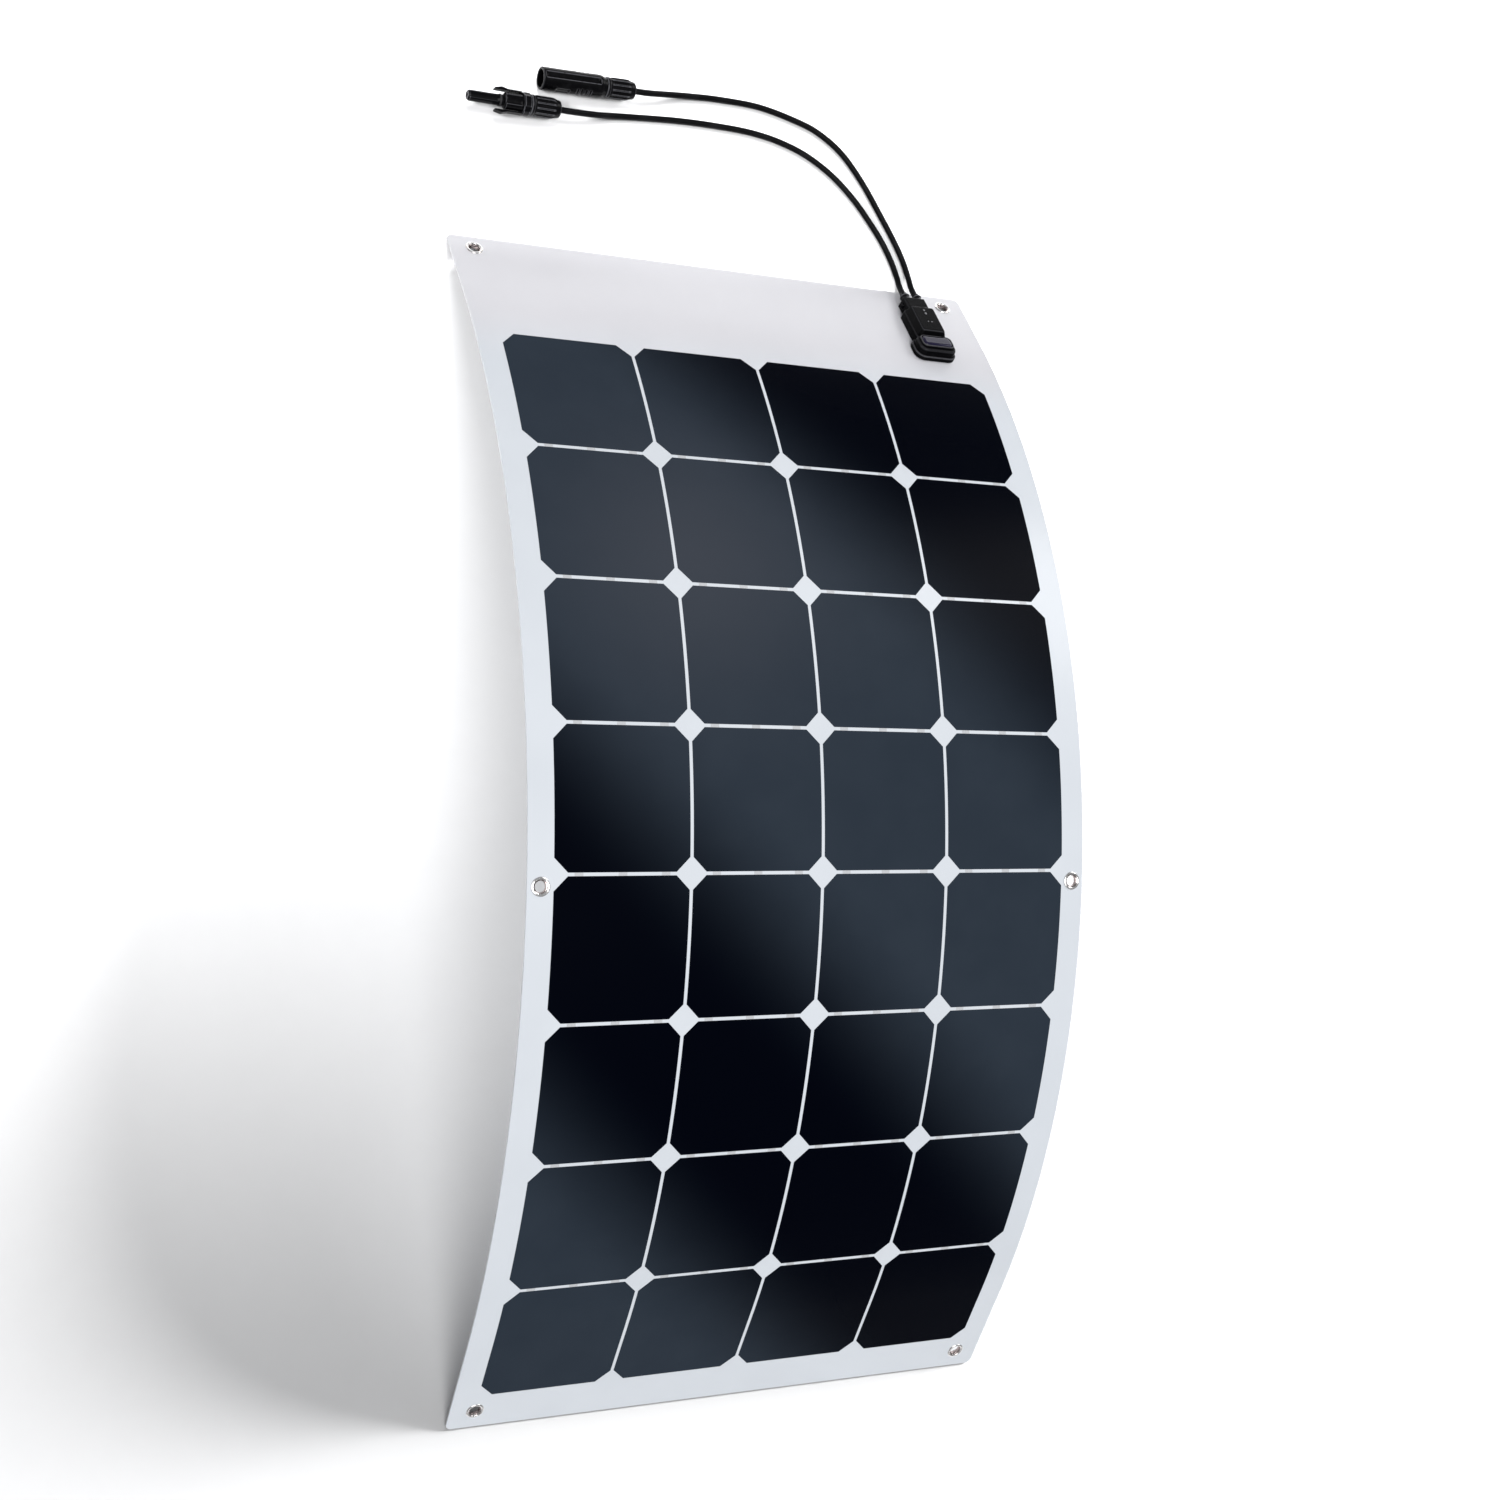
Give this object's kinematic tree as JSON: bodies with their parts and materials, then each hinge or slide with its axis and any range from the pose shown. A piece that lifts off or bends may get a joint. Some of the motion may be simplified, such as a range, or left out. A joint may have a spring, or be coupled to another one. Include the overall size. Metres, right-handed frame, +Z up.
{
  "type": "flexible solar sheet",
  "caption": "Thin flexible solar sheet with square cells, standing as a low arch, with edge grommets, a corner junction box and two cables that end in couplers.",
  "frame": {"origin": "middle of the sheet's footprint, on the surface it stands on; the free cables are left out of the footprint", "axes": "+X across the sheet towards the junction box's side, +Y along the sheet towards the header with the junction box, +Z up out of the cells"},
  "size_m": [0.556, 1.2636, 0.213],
  "materials": {
    "film": "satin",
    "back_sheet": "matt",
    "cell": "smooth blue-black",
    "copper": "tinned",
    "grommet": "nickel plated",
    "pad": "matt",
    "box": "satin black",
    "window": "polished",
    "diode": "matt",
    "contact": "tinned brass",
    "seal": "matt",
    "cable": "matt black",
    "coupler": "fine-grained black"
  },
  "bodies": {
    "row_4": {"row_4_film": "film", "row_4_back": "back_sheet", "row_4_cells": "cell", "row_4_tabs": "copper"},
    "row_3": {"row_3_film": "film", "row_3_back": "back_sheet", "row_3_cells": "cell", "row_3_tabs": "copper"},
    "row_2": {"row_2_film": "film", "row_2_back": "back_sheet", "row_2_cells": "cell", "row_2_tabs": "copper"},
    "row_1": {"row_1_film": "film", "row_1_back": "back_sheet", "row_1_cells": "cell", "row_1_tabs": "copper"},
    "header": {"header_film": "film", "header_back": "back_sheet", "header_ribbons": "copper", "eyelets_top": "grommet", "washers_top": "grommet", "box_pad": "pad", "box_base": "box", "box_lid": "box", "box_window": "window", "bypass_diodes": "diode", "box_terminals": "contact", "cable_glands": "seal", "plus_cable": "cable", "minus_cable": "cable", "pin_coupler": "coupler", "pin_contact": "contact", "socket_coupler": "coupler", "socket_contact": "contact", "coupler_nuts": "coupler", "cord_seals": "seal", "face_ring": "seal"},
    "row_5": {"row_5_film": "film", "row_5_back": "back_sheet", "row_5_cells": "cell", "row_5_tabs": "copper", "eyelets_middle": "grommet", "washers_middle": "grommet"},
    "row_6": {"row_6_film": "film", "row_6_back": "back_sheet", "row_6_cells": "cell", "row_6_tabs": "copper"},
    "row_7": {"row_7_film": "film", "row_7_back": "back_sheet", "row_7_cells": "cell", "row_7_tabs": "copper"},
    "row_8": {"footer_ribbons": "copper", "row_8_film": "film", "row_8_back": "back_sheet", "row_8_cells": "cell", "row_8_tabs": "copper", "eyelets_bottom": "grommet", "washers_bottom": "grommet"},
    "latch_left": {"latch_left": "coupler"},
    "latch_right": {"latch_right": "coupler"}
  },
  "joints": [
    {"name": "flex_5", "type": "hinge", "parent": "row_4", "child": "row_5", "pos_m": [0, -0.04697, 0.21253], "axis": [-1, 0, 0], "range_deg": [0, 9.2]},
    {"name": "flex_4", "type": "hinge", "parent": "row_4", "child": "row_3", "pos_m": [0, 0.081, 0.21021], "axis": [1, 0, 0], "range_deg": [0, 9.2]},
    {"name": "flex_3", "type": "hinge", "parent": "row_3", "child": "row_2", "pos_m": [0, 0.20697, 0.18746], "axis": [1, 0, 0], "range_deg": [0, 9.2]},
    {"name": "flex_2", "type": "hinge", "parent": "row_2", "child": "row_1", "pos_m": [0, 0.32767, 0.14486], "axis": [1, 0, 0], "range_deg": [0, 9.2]},
    {"name": "flex_1", "type": "hinge", "parent": "row_1", "child": "header", "pos_m": [0, 0.44001, 0.08352], "axis": [1, 0, 0], "range_deg": [0, 9.2]},
    {"name": "flex_6", "type": "hinge", "parent": "row_5", "child": "row_6", "pos_m": [0, -0.17368, 0.19436], "axis": [-1, 0, 0], "range_deg": [0, 9.2]},
    {"name": "flex_7", "type": "hinge", "parent": "row_6", "child": "row_7", "pos_m": [0, -0.29585, 0.15616], "axis": [-1, 0, 0], "range_deg": [0, 9.2]},
    {"name": "flex_8", "type": "hinge", "parent": "row_7", "child": "row_8", "pos_m": [0, -0.41034, 0.09893], "axis": [-1, 0, 0], "range_deg": [0, 9.2]},
    {"name": "latch_left_bend", "type": "hinge", "parent": "header", "child": "latch_left", "pos_m": [-0.2082, 0.6666, 0.011], "axis": [0, 0, -1], "range_deg": [0, 4], "stiffness_Nm_per_rad": 0.3},
    {"name": "latch_right_bend", "type": "hinge", "parent": "header", "child": "latch_right", "pos_m": [-0.2082, 0.6854, 0.011], "axis": [0, 0, 1], "range_deg": [0, 4], "stiffness_Nm_per_rad": 0.3}
  ],
  "couplings": [
    {"joint": "flex_4", "follows": "flex_5", "ratio": 1},
    {"joint": "flex_3", "follows": "flex_5", "ratio": 1},
    {"joint": "flex_2", "follows": "flex_5", "ratio": 1},
    {"joint": "flex_1", "follows": "flex_5", "ratio": 1},
    {"joint": "flex_6", "follows": "flex_5", "ratio": 1},
    {"joint": "flex_7", "follows": "flex_5", "ratio": 1},
    {"joint": "flex_8", "follows": "flex_5", "ratio": 1}
  ]
}
